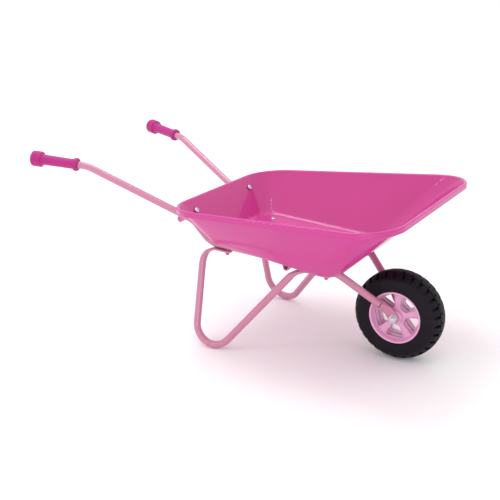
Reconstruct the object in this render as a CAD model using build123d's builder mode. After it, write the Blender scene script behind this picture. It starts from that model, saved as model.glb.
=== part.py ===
from build123d import *
from math import pi
import os

# Child's steel wheelbarrow: pressed tray, two bent frame tubes, V legs and a spoked wheel.
# Frame: +X points forward to the wheel, +Y to the left of someone pushing it, +Z up.
# The origin is on the ground, in the middle of the whole wheelbarrow.

# ---------------------------------------------------------------- driving dimensions (mm)
wheel_radius = 85.0
tube_radius = 7.0
tube_wall = 1.2
sheet = 0.8
touch_gap = 0.2

axle_x = 312.49
axle_z = wheel_radius

# tray: a pan pressed from one sheet, wider and deeper towards the front
rim_rear_x = axle_x - 400.5
rim_front_x = axle_x + 61.5
rim_rear_z = 275.3
rim_front_z = 305.1
rim_rear_half = 178.7
rim_front_half = 225.7
rim_corner = 73.0
rim_flange = 7.0
rim_band = 10.5
rim_edge_round = 3.0
floor_rear_x = axle_x - 349.5
floor_front_x = axle_x - 78.0
floor_rear_z = 200.4
floor_front_z = 177.0
floor_rear_half = 111.0
floor_front_half = 129.0
floor_corner = 30.0
floor_fold = 14.0

# frame tubes, given for the left side and mirrored for the right
grip_end = Vector(axle_x - 706.0, 191.23, 341.15)
handle_bend = Vector(axle_x - 594.9, 157.4, 329.9)
wall_bend = Vector(axle_x - 392.0, 92.5, 232.5)
floor_rear_y = 92.0
floor_front_y = 72.0
fork_bend_x = axle_x - 94.0
fork_crimp_start = Vector(axle_x - 26.2, 35.3, 111.0)
fork_plate_reach = 13.0
handle_bend_radius = 70.0
wall_bend_radius = 45.0
floor_bend_radius = 40.0
fork_bend_radius = 38.0

# flattened tube ends
flat_half_width = 9.8
flat_thickness = 3.2
crimp_overlap = 0.05
crimp_steps = 4

# legs
leg_rear_top = Vector(axle_x - 363.6, 108.9, 152.0)
leg_corner_x = axle_x - 356.8
leg_corner_y = 165.0
leg_corner_radius = 39.0
leg_front_top = Vector(axle_x - 182.3, 92.0, 152.7)
leg_rear_flat = 21.0
leg_front_flat = 36.0
floor_bolt_rear_x = axle_x - 317.7
floor_bolt_front_x = axle_x - 113.7

# wheel
tyre_half_width = 25.8
tyre_side_radius = 74.7
shoulder_half = 20.0
shoulder_radius = 82.0
tread_half_width = 9.5
tyre_bore = 50.0
tyre_rib_radius = 47.0
tyre_rib_half = 4.0
lug_count = 30
lug_groove = 6.0
lug_depth = 3.2
lug_groove_depth = 7.5
row_groove = 1.6
row_groove_y = 11.2
notch_groove = 3.0
notch_depth = 2.0
notch_reach = 4.5
disc_fit = 0.2
disc_barrel = 4.0
disc_half_width = 25.0
disc_face = 14.0
window_turn = 21.0
spoke_turn = -15.0
disc_face_thickness = 3.0
spoke_count = 5
hub_radius = 13.0
hub_half_length = 24.0
sleeve_radius = 6.0
sleeve_bore = 4.2
window_share_inner = 0.5
window_share_outer = 0.68
window_corner = 4.0
running_fit = 0.08
fork_gap_half = 24.5

# fasteners
axle_radius = 4.0
axle_nut_flats = 13.0
axle_nut_height = 6.5
axle_head_height = 5.3
axle_bolt_past = 3.0
axle_washer_radius = 8.0
washer_thickness = 1.2
bolt_radius = 2.5
bolt_hole_radius = 2.75
bolt_head_radius = 5.2
bolt_head_height = 2.6
nut_flats = 8.0
nut_height = 4.0
cap_radius = 3.4
dome_height = 3.4
bolt_slot_width = 0.9
bolt_slot_depth = 1.3
spacer_radius = 4.5
head_round_share = 0.7
dome_round_share = 0.8
tray_hole_reach = 3.2
wall_seat = 0.35
rear_seat = 4.6
saddle_reach = 12.0
nut_cap_radius = 6.0
nut_cap_length = 6.5

# grips
grip_length = 99.0
grip_bore_depth = 92.0
knob_radius = 15.3
sleeve_grip_radius = 9.2
collar_radius = 12.9
grip_edge_round = 2.5
grip_fit = 0.1
knob_share = 0.24
cone_share = 0.31
collar_share = 0.905

# cross brace
brace_x = axle_x - 191.0
brace_half_length = 86.0
brace_top_half = 8.0
brace_foot_half = 4.0
brace_depth = 9.5
brace_wall = 1.6

os.makedirs("parts", exist_ok=True)


# ---------------------------------------------------------------- shared geometry
floor_slope = (floor_front_z - floor_rear_z) / (floor_front_x - floor_rear_x)
floor_tilt = Vector(1, 0, floor_slope).normalized()
floor_up = Vector(-floor_tilt.Z, 0, floor_tilt.X)
rim_slope = (rim_front_z - rim_rear_z) / (rim_front_x - rim_rear_x)
rim_tilt = Vector(1, 0, rim_slope).normalized()
rim_up = Vector(-rim_tilt.Z, 0, rim_tilt.X)
across = Vector(0, 1, 0)


def floor_z(x):
    """Height of the tray floor's upper face at x."""
    return floor_rear_z + floor_slope * (x - floor_rear_x)


def frame_y(x):
    """Sideways place of a frame tube's axis where it runs under the floor."""
    share = (x - wall_bend.X) / (fork_bend_x - wall_bend.X)
    return floor_rear_y + share * (floor_front_y - floor_rear_y)


def under_floor(x, drop):
    """Point under a frame tube's line, this far below the floor's upper face."""
    return Vector(x, frame_y(x), floor_z(x)) - floor_up * drop


frame_axis_drop = sheet + touch_gap + tube_radius
leg_plate_drop = sheet + 2 * touch_gap + 2 * tube_radius + flat_thickness / 2
floor_bend = under_floor(axle_x - 356.0, frame_axis_drop)
fork_bend = under_floor(fork_bend_x, frame_axis_drop)


def mirrored(point, side):
    """The point on the left for side +1 and on the right for side -1."""
    return Vector(point.X, point.Y * side, point.Z)


def save(piece, name):
    """Label a finished piece and write it as its own file."""
    piece.label = name
    export_step(piece, f"parts/{name}.step")
    print(name, round(piece.volume))


side_names = {1: "left", -1: "right"}


# ---------------------------------------------------------------- tray
floor_length = (floor_front_x - floor_rear_x) / floor_tilt.X
rim_length = (rim_front_x - rim_rear_x) / rim_tilt.X
wall_share_top = 1.25
wall_share_floor = 0.5


def floor_plane(lift):
    """Plane of the tray floor's upper face, raised by lift."""
    corner = Vector(floor_rear_x, 0, floor_rear_z)
    return Plane(origin=corner + floor_up * lift, x_dir=floor_tilt, z_dir=floor_up)


def rim_plane(lift):
    """Plane of the rim's top, raised by lift."""
    corner = Vector(rim_rear_x, 0, rim_rear_z)
    return Plane(origin=corner + rim_up * lift, x_dir=rim_tilt, z_dir=rim_up)


def pan_outline(length, rear_half, front_half, corner, grow):
    """Four-sided outline with rounded corners, wider in front, offset outwards by grow."""
    with BuildSketch(mode=Mode.PRIVATE) as outline:
        with BuildLine():
            Polyline(
                (0, -rear_half),
                (length, -front_half),
                (length, front_half),
                (0, rear_half),
                close=True,
            )
        make_face()
        fillet(outline.vertices(), corner)
        if grow:
            offset(amount=grow)
    return outline.sketch


def rim_outline(grow):
    """Outline of the rolled rim's outer edge, offset by grow."""
    return pan_outline(rim_length, rim_rear_half, rim_front_half, rim_corner, grow)


def pan_block(grow, floor_grow, rim_grow):
    """Solid bowl whose faces lie this far outside the pan's inner faces."""
    with BuildPart() as block:
        with BuildSketch(floor_plane(-grow)):
            add(pan_outline(floor_length, floor_rear_half, floor_front_half, floor_corner, floor_grow))
        with BuildSketch(rim_plane(0)):
            add(rim_outline(rim_grow - rim_flange))
        loft(ruled=True)
        lowest = block.faces().sort_by(Axis.Z)[0]
        fillet(lowest.edges(), floor_fold + grow)
    return block.part


# the rear wall's inner face, seen from the side
rear_wall_foot = Vector(floor_rear_x, 0, floor_rear_z)
rear_wall_top = Vector(rim_rear_x, 0, rim_rear_z) + rim_tilt * rim_flange
rear_wall_rise = (rear_wall_top - rear_wall_foot).normalized()
rear_wall_normal = Vector(rear_wall_rise.Z, 0, -rear_wall_rise.X)
rear_bolt_share = 0.72
rear_bolt_foot = rear_wall_foot + (rear_wall_top - rear_wall_foot) * rear_bolt_share


def rear_bolt_reach():
    """Distance from the rear wall's inner face back to the frame tube's axis."""
    run = wall_bend - handle_bend
    slope = run.Z / run.X
    rise = rear_bolt_foot.Z - wall_bend.Z - slope * (rear_bolt_foot.X - wall_bend.X)
    return rise / (rear_wall_normal.Z - slope * rear_wall_normal.X)


rear_reach = rear_bolt_reach()
rear_bolt_x = rear_bolt_foot.X - rear_wall_normal.X * rear_reach
rear_bolt_share_y = (rear_bolt_x - handle_bend.X) / (wall_bend.X - handle_bend.X)
rear_bolt_y = handle_bend.Y + rear_bolt_share_y * (wall_bend.Y - handle_bend.Y)
rear_tube_point = handle_bend + (wall_bend - handle_bend) * rear_bolt_share_y
rear_tube_heading = (wall_bend - handle_bend).normalized()


def floor_bolt_planes():
    """Planes of the four floor bolts, on the tray floor and pointing up."""
    spots = [(x, side) for x in (floor_bolt_rear_x, floor_bolt_front_x) for side in (1, -1)]
    return [
        Plane(
            origin=Vector(x, frame_y(x) * side, floor_z(x)),
            x_dir=floor_tilt,
            z_dir=floor_up,
        )
        for x, side in spots
    ]


def rear_bolt_planes():
    """Planes of the two rear bolts, on the rear wall and pointing into the tray."""
    return [
        Plane(
            origin=Vector(rear_bolt_foot.X, rear_bolt_y * side, rear_bolt_foot.Z),
            x_dir=rear_wall_rise,
            z_dir=rear_wall_normal,
        )
        for side in (1, -1)
    ]


def build_tray():
    """Pressed pan with a rolled rim: flat flange, rounded edge and turned-down band."""
    with BuildPart() as skirt_room:
        with BuildSketch(rim_plane(-sheet)):
            add(rim_outline(-sheet))
        extrude(amount=-2 * rim_band)
        fillet(skirt_room.edges().sort_by(Axis((0, 0, 0), rim_up))[-8:], rim_edge_round - sheet)
    with BuildPart() as rim:
        with BuildSketch(rim_plane(0)):
            add(rim_outline(0))
        extrude(amount=-rim_band)
        fillet(rim.edges().sort_by(Axis((0, 0, 0), rim_up))[-8:], rim_edge_round)
        add(skirt_room.part, mode=Mode.SUBTRACT)
    outer = pan_block(sheet, sheet * wall_share_floor, sheet * wall_share_top)
    inner = pan_block(0, 0, 0)
    with BuildPart() as tray:
        add(rim.part)
        add(outer)
        add(inner, mode=Mode.SUBTRACT)
        with BuildSketch(rim_plane(-touch_gap)):
            add(rim_outline(-rim_flange))
        extrude(amount=2 * rim_band, mode=Mode.SUBTRACT)
        for plane in floor_bolt_planes() + rear_bolt_planes():
            with BuildSketch(plane):
                Circle(bolt_hole_radius)
            extrude(amount=tray_hole_reach, both=True, mode=Mode.SUBTRACT)
    save(tray.part, "tray")


# ---------------------------------------------------------------- bent tubes
def oval_section(plane, half_width, half_thickness):
    """Sketch of a part-flattened tube: the long axis lies along the plane's x."""
    with BuildSketch(plane) as section:
        SlotOverall(2 * half_width, 2 * half_thickness)
    return section.sketch


def crimp_sections(start, corner, end, long_axis):
    """Sections of a tube that goes from round to flat along a curve from start to end."""
    sections = []
    for step in range(crimp_steps + 1):
        share = step / crimp_steps
        rest = 1 - share
        centre = start * rest**2 + corner * (2 * share * rest) + end * share**2
        heading = ((corner - start) * rest + (end - corner) * share).normalized()
        side_dir = (long_axis - heading * long_axis.dot(heading)).normalized()
        half_width = tube_radius + crimp_overlap + (flat_half_width - tube_radius) * share
        half_thickness = tube_radius + (flat_thickness / 2 - tube_radius) * share
        plane = Plane(origin=centre, x_dir=side_dir, z_dir=heading)
        sections.append(oval_section(plane, half_width, half_thickness))
    return sections


def tube_ring(path):
    """Ring-shaped section of the tube at the start of its path."""
    with BuildSketch(Plane(origin=path @ 0, z_dir=path % 0)) as ring:
        Circle(tube_radius)
        Circle(tube_radius - tube_wall, mode=Mode.SUBTRACT)
    return ring.sketch


handle_dir = (handle_bend - grip_end).normalized()
tube_start = grip_end + handle_dir * (grip_length - grip_bore_depth)
fork_plate_mid = fork_gap_half + flat_thickness / 2
axle_left = Vector(axle_x, fork_plate_mid, axle_z)
fork_heading = Vector(
    axle_x - fork_crimp_start.X, 0, axle_z - fork_crimp_start.Z
).normalized()
fork_plate_start = axle_left - fork_heading * fork_plate_reach
fork_turn = (Vector(fork_crimp_start.X, fork_plate_mid, fork_crimp_start.Z) + fork_plate_start) / 2


def plate(start, end, normal, thickness):
    """Flat strip from start to end with a round end, centred on that line."""
    heading = (end - start).normalized()
    length = (end - start).length
    base = Plane(origin=start - normal * (thickness / 2), x_dir=heading, z_dir=normal)
    with BuildPart() as strip:
        with BuildSketch(base):
            with Locations((length / 2, 0)):
                Rectangle(length, 2 * flat_half_width)
            with Locations((length, 0)):
                Circle(flat_half_width)
        extrude(amount=thickness)
    return strip.part


def build_frame_tube(side):
    """One long tube: grip end, slanted handle, under the tray, and down to the axle."""
    corners = [tube_start, handle_bend, wall_bend, floor_bend, fork_bend, fork_crimp_start]
    radii = [handle_bend_radius, wall_bend_radius, floor_bend_radius, fork_bend_radius]
    with BuildLine() as route:
        FilletPolyline([mirrored(point, side) for point in corners], radius=radii)
    path = route.wires()[0]
    with BuildPart() as tube:
        add(tube_ring(path))
        sweep(path=path)
        long_axis = fork_heading.cross(across)
        for section in crimp_sections(
            mirrored(fork_crimp_start, side),
            mirrored(fork_turn, side),
            mirrored(fork_plate_start, side),
            long_axis,
        ):
            add(section)
        loft()
        add(plate(mirrored(fork_plate_start, side), mirrored(axle_left, side), across, flat_thickness))
        with BuildSketch(Plane(origin=mirrored(axle_left, side), z_dir=across)):
            Circle(axle_radius + running_fit)
        extrude(amount=flat_thickness, both=True, mode=Mode.SUBTRACT)
        for plane in floor_bolt_planes() + rear_bolt_planes():
            with BuildSketch(plane):
                Circle(bolt_hole_radius)
            extrude(amount=-rear_reach - 2 * tube_radius, mode=Mode.SUBTRACT)
    save(tube.part, f"frame_tube_{side_names[side]}")


# ---------------------------------------------------------------- legs
def leg_corners(corner_z, side):
    """Corner points of one leg's round stretch."""
    corner = Vector(leg_corner_x, leg_corner_y, corner_z)
    return [mirrored(point, side) for point in (leg_rear_top, corner, leg_front_top)]


def leg_route(corner_z, side):
    """Wire along one leg's axis."""
    with BuildLine() as route:
        FilletPolyline(leg_corners(corner_z, side), radius=leg_corner_radius)
    return route.wires()[0]


route_samples = 400
settling_steps = 14


def standing_corner_z(side):
    """Height of the leg's sharp corner that lets its bend just touch the ground."""
    corner_z = 0.0
    for _ in range(settling_steps):
        route = leg_route(corner_z, side)
        lowest = min((route @ (step / route_samples)).Z for step in range(route_samples + 1))
        corner_z += tube_radius - lowest
    return corner_z


def leg_plate_point(x, side):
    """Point in the middle of a leg's flattened end, under the frame tube."""
    return mirrored(under_floor(x, leg_plate_drop), side)


def build_leg(side):
    """V-shaped tube with both ends flattened and bent forward under the frame tube."""
    corner_z = standing_corner_z(side)
    path = leg_route(corner_z, side)
    ends = [
        (leg_rear_top, floor_bolt_rear_x, leg_rear_flat),
        (leg_front_top, floor_bolt_front_x, leg_front_flat),
    ]
    corner = Vector(leg_corner_x, leg_corner_y, corner_z)
    with BuildPart() as leg:
        add(tube_ring(path))
        sweep(path=path)
        for top, bolt_x, flat_length in ends:
            start = mirrored(top, side)
            flat_start = leg_plate_point(bolt_x - flat_length, side)
            heading = (top - corner).normalized()
            level_reach = (flat_start.Z - start.Z) / heading.Z
            turn = mirrored(top + heading * level_reach, side)
            for section in crimp_sections(start, turn, flat_start, across):
                add(section)
            loft()
            add(plate(flat_start, leg_plate_point(bolt_x, side), floor_up, flat_thickness))
        for plane in floor_bolt_planes():
            with BuildSketch(plane):
                Circle(bolt_hole_radius)
            extrude(amount=-rear_reach, mode=Mode.SUBTRACT)
    save(leg.part, f"leg_{side_names[side]}")


# ---------------------------------------------------------------- cross brace
def trough_corners(inset):
    """Corners of the brace's section, moved in by the sheet's thickness for its inside."""
    return [
        (inset - brace_top_half, inset),
        (inset - brace_foot_half, inset - brace_depth),
        (brace_foot_half - inset, inset - brace_depth),
        (brace_top_half - inset, inset),
    ]


def build_cross_brace():
    """Pressed trough welded across the undersides of both frame tubes."""
    under_tubes = under_floor(brace_x, frame_axis_drop + tube_radius + touch_gap)
    start = Vector(under_tubes.X, brace_half_length, under_tubes.Z)
    end_plane = Plane(origin=start, x_dir=floor_tilt * -1, z_dir=across)
    with BuildPart() as brace:
        for inset, corner, mode in (
            (0, 2 * brace_wall, Mode.ADD),
            (brace_wall, brace_wall / 2, Mode.SUBTRACT),
        ):
            with BuildSketch(end_plane) as section:
                with BuildLine():
                    Polyline(*trough_corners(inset), close=True)
                make_face()
                fillet(section.vertices().group_by(Axis.Y)[0], corner)
            extrude(amount=-2 * brace_half_length, mode=mode)
    save(brace.part, "cross_brace")


# ---------------------------------------------------------------- grips
def build_grip(side):
    """Soft grip: ringed knob at the end, slim sleeve and a collar at the thumb."""
    end = mirrored(grip_end, side)
    axis_dir = mirrored(handle_dir, side)
    outward = axis_dir.cross(Vector(0, 0, 1)).normalized()
    knob_end = grip_length * knob_share
    cone_end = grip_length * cone_share
    collar_start = grip_length * collar_share
    profile_plane = Plane(origin=end, x_dir=axis_dir, z_dir=axis_dir.cross(outward))
    with BuildPart() as grip:
        with BuildSketch(profile_plane) as profile:
            with BuildLine():
                Polyline(
                    (0, 0),
                    (0, knob_radius),
                    (knob_end, knob_radius),
                    (cone_end, sleeve_grip_radius),
                    (collar_start, sleeve_grip_radius),
                    (collar_start, collar_radius),
                    (grip_length, collar_radius),
                    (grip_length, 0),
                    close=True,
                )
            make_face()
            outer_corners = profile.vertices().filter_by(
                lambda corner: corner.Y > (sleeve_grip_radius + collar_radius) / 2
            )
            fillet(outer_corners, grip_edge_round)
        revolve(axis=Axis(end, axis_dir))
        with BuildSketch(Plane(origin=end + axis_dir * grip_length, z_dir=axis_dir)):
            Circle(tube_radius + grip_fit)
        extrude(amount=-grip_bore_depth - touch_gap, mode=Mode.SUBTRACT)
    save(grip.part, f"grip_{side_names[side]}")


# ---------------------------------------------------------------- wheel
axle_line = Axis((axle_x, 0, axle_z), (0, 1, 0))
wheel_section = Plane(origin=(axle_x, 0, axle_z), x_dir=(0, 1, 0), z_dir=(1, 0, 0))


def wheel_face(y):
    """Plane across the axle at this sideways place, pointing left."""
    return Plane(origin=(axle_x, y, axle_z), x_dir=(1, 0, 0), z_dir=(0, 1, 0))


def ring_section(y_from, y_to, r_from, r_to):
    """Rectangle between two places along the axle and two radii, to be revolved."""
    with Locations(((y_from + y_to) / 2, (r_from + r_to) / 2)):
        Rectangle(abs(y_to - y_from), r_to - r_from)


def build_tyre():
    """Moulded tyre: flat sidewalls, crowned tread and two staggered rows of lugs."""
    with BuildPart() as tyre:
        with BuildSketch(wheel_section):
            with BuildLine():
                Polyline(
                    (-tyre_half_width, tyre_bore),
                    (-tyre_half_width, tyre_side_radius),
                    (-shoulder_half, shoulder_radius),
                    (-tread_half_width, wheel_radius),
                    (tread_half_width, wheel_radius),
                    (shoulder_half, shoulder_radius),
                    (tyre_half_width, tyre_side_radius),
                    (tyre_half_width, tyre_bore),
                    close=True,
                )
            make_face()
            ring_section(-tyre_rib_half, tyre_rib_half, tyre_rib_radius, tyre_bore + sheet)
        revolve(axis=axle_line)
        for side in side_names:
            groove_from = side * (row_groove_y - row_groove / 2)
            groove_to = side * (row_groove_y + row_groove / 2)
            with BuildSketch(wheel_section):
                ring_section(groove_from, groove_to, wheel_radius - lug_depth, wheel_radius + sheet)
            revolve(axis=axle_line, mode=Mode.SUBTRACT)
            stagger = 180 / lug_count if side > 0 else 0
            with BuildSketch(wheel_face(groove_to)):
                with PolarLocations(wheel_radius, lug_count, start_angle=stagger):
                    Rectangle(2 * lug_groove_depth, lug_groove)
            extrude(amount=side * tyre_half_width, mode=Mode.SUBTRACT)
            with BuildSketch(wheel_face(groove_from)):
                with PolarLocations(wheel_radius, lug_count, start_angle=stagger + 180 / lug_count):
                    Rectangle(2 * notch_depth, notch_groove)
            extrude(amount=-side * notch_reach, mode=Mode.SUBTRACT)
    save(tyre.part, "tyre")


def window_outline():
    """One opening between two spokes: a rounded slice of the ring."""
    inner = hub_radius + disc_barrel
    outer = tyre_rib_radius - 2 * disc_barrel
    half_turn = pi / spoke_count
    inner_half = inner * half_turn * window_share_inner
    outer_half = outer * half_turn * window_share_outer
    with BuildSketch(mode=Mode.PRIVATE) as window:
        with BuildLine():
            Polyline(
                (inner, -inner_half),
                (outer, -outer_half),
                (outer, outer_half),
                (inner, inner_half),
                close=True,
            )
        make_face()
        fillet(window.vertices(), window_corner)
    return window.sketch


def build_wheel_half(side):
    """One moulded half of the wheel: barrel, spoked face and half of the hub."""
    barrel_outer = tyre_bore - disc_fit
    inner_barrel = tyre_rib_radius - disc_fit
    rib_clear = tyre_rib_half + disc_fit
    split = side * disc_fit / 2
    with BuildPart() as half:
        with BuildSketch(wheel_section):
            ring_section(split, side * rib_clear, inner_barrel - disc_barrel, inner_barrel)
            ring_section(side * rib_clear, side * disc_half_width, inner_barrel - disc_barrel, barrel_outer)
            ring_section(split, side * hub_half_length, sleeve_radius + running_fit, hub_radius)
            ring_section(
                side * (disc_face - disc_face_thickness),
                side * disc_face,
                hub_radius - disc_fit,
                inner_barrel - disc_fit,
            )
        revolve(axis=axle_line)
        with BuildSketch(wheel_face(side * disc_face)):
            with PolarLocations(0, spoke_count, start_angle=window_turn):
                add(window_outline())
        extrude(amount=-side * 2 * disc_face_thickness, mode=Mode.SUBTRACT)
        with BuildSketch(wheel_face(side * disc_face)):
            with PolarLocations((hub_radius + inner_barrel) / 2, spoke_count, start_angle=spoke_turn):
                Rectangle(inner_barrel - hub_radius, disc_face_thickness)
        extrude(amount=side * disc_face_thickness)
    save(half.part, f"wheel_half_{side_names[side]}")


def build_axle():
    """Bolt through both fork ends, with a fixed sleeve that the wheel turns on."""
    plate_face = fork_gap_half + flat_thickness
    washer_face = plate_face + washer_thickness
    with BuildPart() as sleeve:
        with BuildSketch(wheel_face(-fork_gap_half)):
            Circle(sleeve_radius)
            Circle(sleeve_bore, mode=Mode.SUBTRACT)
        extrude(amount=2 * fork_gap_half)
    save(sleeve.part, "axle_sleeve")
    with BuildPart() as bolt:
        with BuildSketch(wheel_face(washer_face)):
            RegularPolygon(axle_nut_flats / 2, 6, major_radius=False)
        extrude(amount=axle_head_height)
        with BuildSketch(wheel_face(washer_face)):
            Circle(axle_radius)
        extrude(amount=-(2 * washer_face + axle_nut_height + axle_bolt_past))
        chamfer(bolt.faces().sort_by(Axis.Y)[0].edges(), axle_bolt_past / 4)
    save(bolt.part, "axle_bolt")
    with BuildPart() as nut:
        with BuildSketch(wheel_face(-washer_face)):
            RegularPolygon(axle_nut_flats / 2, 6, major_radius=False)
            Circle(axle_radius + running_fit, mode=Mode.SUBTRACT)
        extrude(amount=-axle_nut_height)
    save(nut.part, "axle_nut")
    with BuildPart() as washers:
        for side in side_names:
            with BuildSketch(wheel_face(side * plate_face)):
                Circle(axle_washer_radius)
                Circle(axle_radius + running_fit, mode=Mode.SUBTRACT)
            extrude(amount=side * washer_thickness)
    save(washers.part, "axle_washers")


# ---------------------------------------------------------------- tray fasteners
def lowered(plane, drop):
    """The plane moved back along its own direction."""
    return Plane(origin=plane.origin - plane.z_dir * drop, x_dir=plane.x_dir, z_dir=plane.z_dir)


def build_bolts(name, planes, shank_length):
    """Round-headed bolts seated on these planes, with a cross cut in each head."""
    with BuildPart() as bolts:
        for plane in planes:
            with BuildSketch(plane):
                Circle(bolt_head_radius)
            extrude(amount=bolt_head_height)
            rim_edge = bolts.edges(Select.LAST).sort_by(Axis(plane.origin, plane.z_dir))[-1]
            fillet(rim_edge, bolt_head_height * head_round_share)
            with BuildSketch(plane):
                Circle(bolt_radius)
            extrude(amount=-shank_length)
            with BuildSketch(lowered(plane, -bolt_head_height)):
                for turn in (0, 90):
                    Rectangle(bolt_head_radius, bolt_slot_width, rotation=turn)
            extrude(amount=-bolt_slot_depth, mode=Mode.SUBTRACT)
    save(bolts.part, name)


def build_washers(name, planes, drop):
    """Flat washers, each hanging below its plane by drop."""
    with BuildPart() as washers:
        for plane in planes:
            with BuildSketch(lowered(plane, drop)):
                Circle(bolt_head_radius)
                Circle(bolt_hole_radius, mode=Mode.SUBTRACT)
            extrude(amount=-washer_thickness / 2)
    save(washers.part, name)


def build_dome_nuts(name, planes, drop):
    """Hexagonal nuts closed by a dome."""
    with BuildPart() as nuts:
        for plane in planes:
            seat = lowered(plane, drop)
            with BuildSketch(seat):
                RegularPolygon(nut_flats / 2, 6, major_radius=False)
            extrude(amount=-nut_height)
            with BuildSketch(lowered(seat, nut_height)):
                Circle(cap_radius)
            extrude(amount=-dome_height)
            end_edge = nuts.edges(Select.LAST).sort_by(Axis(plane.origin, plane.z_dir))[0]
            fillet(end_edge, dome_height * dome_round_share)
            with BuildSketch(seat):
                Circle(bolt_radius + running_fit)
            extrude(amount=-nut_height - dome_height / 2, mode=Mode.SUBTRACT)
    save(nuts.part, name)


def saddle(side):
    """Straight stretch of frame tube behind the rear wall, with a little room around it."""
    start = mirrored(rear_tube_point - rear_tube_heading * saddle_reach, side)
    heading = mirrored(rear_tube_heading, side)
    with BuildPart() as room:
        with BuildSketch(Plane(origin=start, z_dir=heading)):
            Circle(tube_radius + touch_gap)
        extrude(amount=2 * saddle_reach)
    return room.part


def build_spacers(planes, drop):
    """Sleeves that hold the rear wall off the frame tubes, hollowed where they meet the tube."""
    with BuildPart() as spacers:
        for plane in planes:
            with BuildSketch(lowered(plane, drop)):
                Circle(spacer_radius)
            extrude(amount=drop - rear_reach)
        for side in side_names:
            add(saddle(side), mode=Mode.SUBTRACT)
        for plane in planes:
            with BuildSketch(plane):
                Circle(bolt_hole_radius)
            extrude(amount=-2 * rear_reach, mode=Mode.SUBTRACT)
    save(spacers.part, "rear_spacers")


def build_nut_caps(planes, drop):
    """Push-on plastic caps over the rear nuts, their mouths hollowed to sit on the tube."""
    with BuildPart() as caps:
        for plane in planes:
            with BuildSketch(lowered(plane, rear_reach)):
                Circle(nut_cap_radius)
            extrude(amount=rear_reach - drop - nut_cap_length)
            end_edge = caps.edges(Select.LAST).sort_by(Axis(plane.origin, plane.z_dir))[0]
            fillet(end_edge, sheet)
            with BuildSketch(lowered(plane, rear_reach)):
                Circle(nut_cap_radius - sheet)
            extrude(amount=rear_reach - drop + sheet - nut_cap_length, mode=Mode.SUBTRACT)
        for side in side_names:
            add(saddle(side), mode=Mode.SUBTRACT)
    save(caps.part, "rear_nut_caps")


def build_rear_nuts(planes, drop):
    """Plain hexagonal nuts behind the frame tubes."""
    with BuildPart() as nuts:
        for plane in planes:
            with BuildSketch(lowered(plane, drop)):
                RegularPolygon(nut_flats / 2, 6, major_radius=False)
                Circle(bolt_radius + running_fit, mode=Mode.SUBTRACT)
            extrude(amount=-nut_height)
    save(nuts.part, "rear_nuts")


def build_fasteners():
    """Bolts, washers, nuts, spacers and caps that hold tray, frame and legs together."""
    floor_stack = leg_plate_drop + flat_thickness / 2
    floor_planes = floor_bolt_planes()
    build_bolts("floor_bolts", floor_planes, floor_stack + washer_thickness / 2 + nut_height)
    build_washers("floor_washers", floor_planes, floor_stack)
    build_dome_nuts("floor_nuts", floor_planes, floor_stack + washer_thickness / 2)
    rear_planes = rear_bolt_planes()
    rear_stack = rear_reach + tube_radius + rear_seat
    head_planes = [lowered(plane, -wall_seat) for plane in rear_planes]
    build_bolts("rear_bolts", head_planes, rear_stack + nut_height)
    build_spacers(rear_planes, sheet + wall_seat)
    build_rear_nuts(rear_planes, rear_stack)
    build_nut_caps(rear_planes, rear_stack)


build_tray()
for side in side_names:
    build_frame_tube(side)
    build_leg(side)
    build_grip(side)
    build_wheel_half(side)
build_cross_brace()
build_tyre()
build_axle()
build_fasteners()
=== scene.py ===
"""A child's wheelbarrow: pressed tray, bent tube frame, soft grips and a lugged wheel."""

import logging
import math
from dataclasses import dataclass, field
from enum import Enum
from typing import Any, Callable, Sequence

import bpy
from mathutils import Matrix, Vector


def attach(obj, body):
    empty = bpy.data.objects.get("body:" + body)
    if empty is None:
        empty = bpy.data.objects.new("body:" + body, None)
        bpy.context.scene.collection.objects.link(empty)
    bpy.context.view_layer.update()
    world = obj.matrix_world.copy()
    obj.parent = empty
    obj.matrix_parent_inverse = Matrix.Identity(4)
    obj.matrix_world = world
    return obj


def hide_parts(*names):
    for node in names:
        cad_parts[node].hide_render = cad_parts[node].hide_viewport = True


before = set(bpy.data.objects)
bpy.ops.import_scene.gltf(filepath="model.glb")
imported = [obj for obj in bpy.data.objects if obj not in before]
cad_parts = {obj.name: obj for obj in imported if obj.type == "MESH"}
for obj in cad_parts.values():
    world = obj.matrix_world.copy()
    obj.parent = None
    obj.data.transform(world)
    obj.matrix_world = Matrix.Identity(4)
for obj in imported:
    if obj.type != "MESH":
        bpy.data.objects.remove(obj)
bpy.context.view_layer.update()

LOG = logging.getLogger("wheelbarrow")
AXLE = Vector((0.31249, 0.0, 0.085))
Colour = tuple[float, float, float]
Profile = Sequence[tuple[float, float]]


class Side(Enum):
    """A side of the wheelbarrow, as seen by the person who pushes it."""

    LEFT = 1
    RIGHT = -1

    @property
    def label(self) -> str:
        """Name of the side as it stands at the end of node names."""
        return self.name.lower()


# ------------------------------------------------------------------ shader maths


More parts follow.
